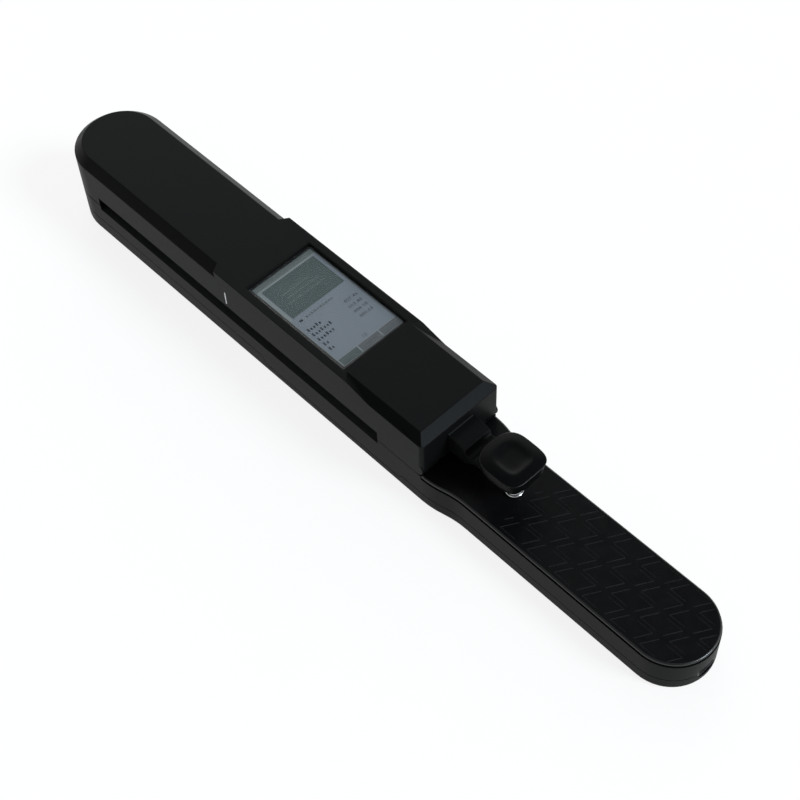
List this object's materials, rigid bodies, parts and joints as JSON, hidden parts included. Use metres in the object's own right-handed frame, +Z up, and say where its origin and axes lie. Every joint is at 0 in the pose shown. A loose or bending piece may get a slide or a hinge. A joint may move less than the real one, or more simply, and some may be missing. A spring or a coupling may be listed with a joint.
{
  "type": "leaf area meter",
  "caption": "Hand-held wand that measures leaf area: a flat base with a patterned grip, and a hinged arm with a screen that a thumb pad lifts to open a long side slot.",
  "frame": {"origin": "bottom of the lower cover, under the middle of the wand's length and width", "axes": "+Y along the wand from grip to tip, +X to the right of a user holding the grip, +Z up"},
  "size_m": [0.0468, 0.4, 0.0466],
  "materials": {
    "matte_shell": "fine matte texture",
    "gloss_grip": "gloss with fine engraving",
    "battery_wrap": "satin film",
    "circuit_board": "satin lacquer",
    "steel_sheet": "satin",
    "dark_moulding": "matte",
    "steel_screw": "satin",
    "steel_pin": "ground",
    "bright_spring": "bright",
    "light_sheet": "satin",
    "white_acrylic": "opal gloss",
    "smoked_window": "gloss",
    "display_frame": "gloss",
    "screen_glass": "clear gloss",
    "black_rubber": "soft matte",
    "brass_bush": "turned"
  },
  "bodies": {
    "base": {"base_shell": "matte_shell", "lower_cover": "matte_shell", "grip_plate": "gloss_grip", "battery_pack": "battery_wrap", "charge_board": "circuit_board", "charge_socket": "steel_sheet", "port_frame": "dark_moulding", "cover_screws": "steel_screw", "hinge_pin": "steel_pin", "spring_stud": "steel_pin", "return_spring": "bright_spring", "light_channel": "light_sheet", "lamp_board": "circuit_board", "light_window": "white_acrylic", "roller_bearings": "dark_moulding", "encoder_sensor": "dark_moulding"},
    "arm": {"arm_housing": "matte_shell", "arm_tray": "matte_shell", "tray_screws": "steel_screw", "sensor_bar": "dark_moulding", "sensor_window": "smoked_window", "main_board": "circuit_board", "display_module": "display_frame", "screen_glass": "screen_glass", "screen_gasket": "black_rubber", "hinge_bushes": "brass_bush", "thumb_lever": "matte_shell", "lever_screws": "steel_screw", "thumb_pad": "black_rubber", "nose_bumper": "black_rubber"},
    "roller": {"measuring_roller": "black_rubber", "roller_shaft": "steel_pin", "encoder_disc": "smoked_window"}
  },
  "joints": [
    {"name": "arm_hinge", "type": "hinge", "parent": "base", "child": "arm", "pos_m": [0, -0.0545, 0.0254], "axis": [1, 0, 0], "range_deg": [0, 10], "stiffness_Nm_per_rad": 0.6, "springref_deg": -20.05, "deforming": ["return_spring"]},
    {"name": "roller_spin", "type": "hinge", "parent": "base", "child": "roller", "pos_m": [0.011, -0.011, 0.0116], "axis": [0, 1, 0], "continuous": true}
  ]
}
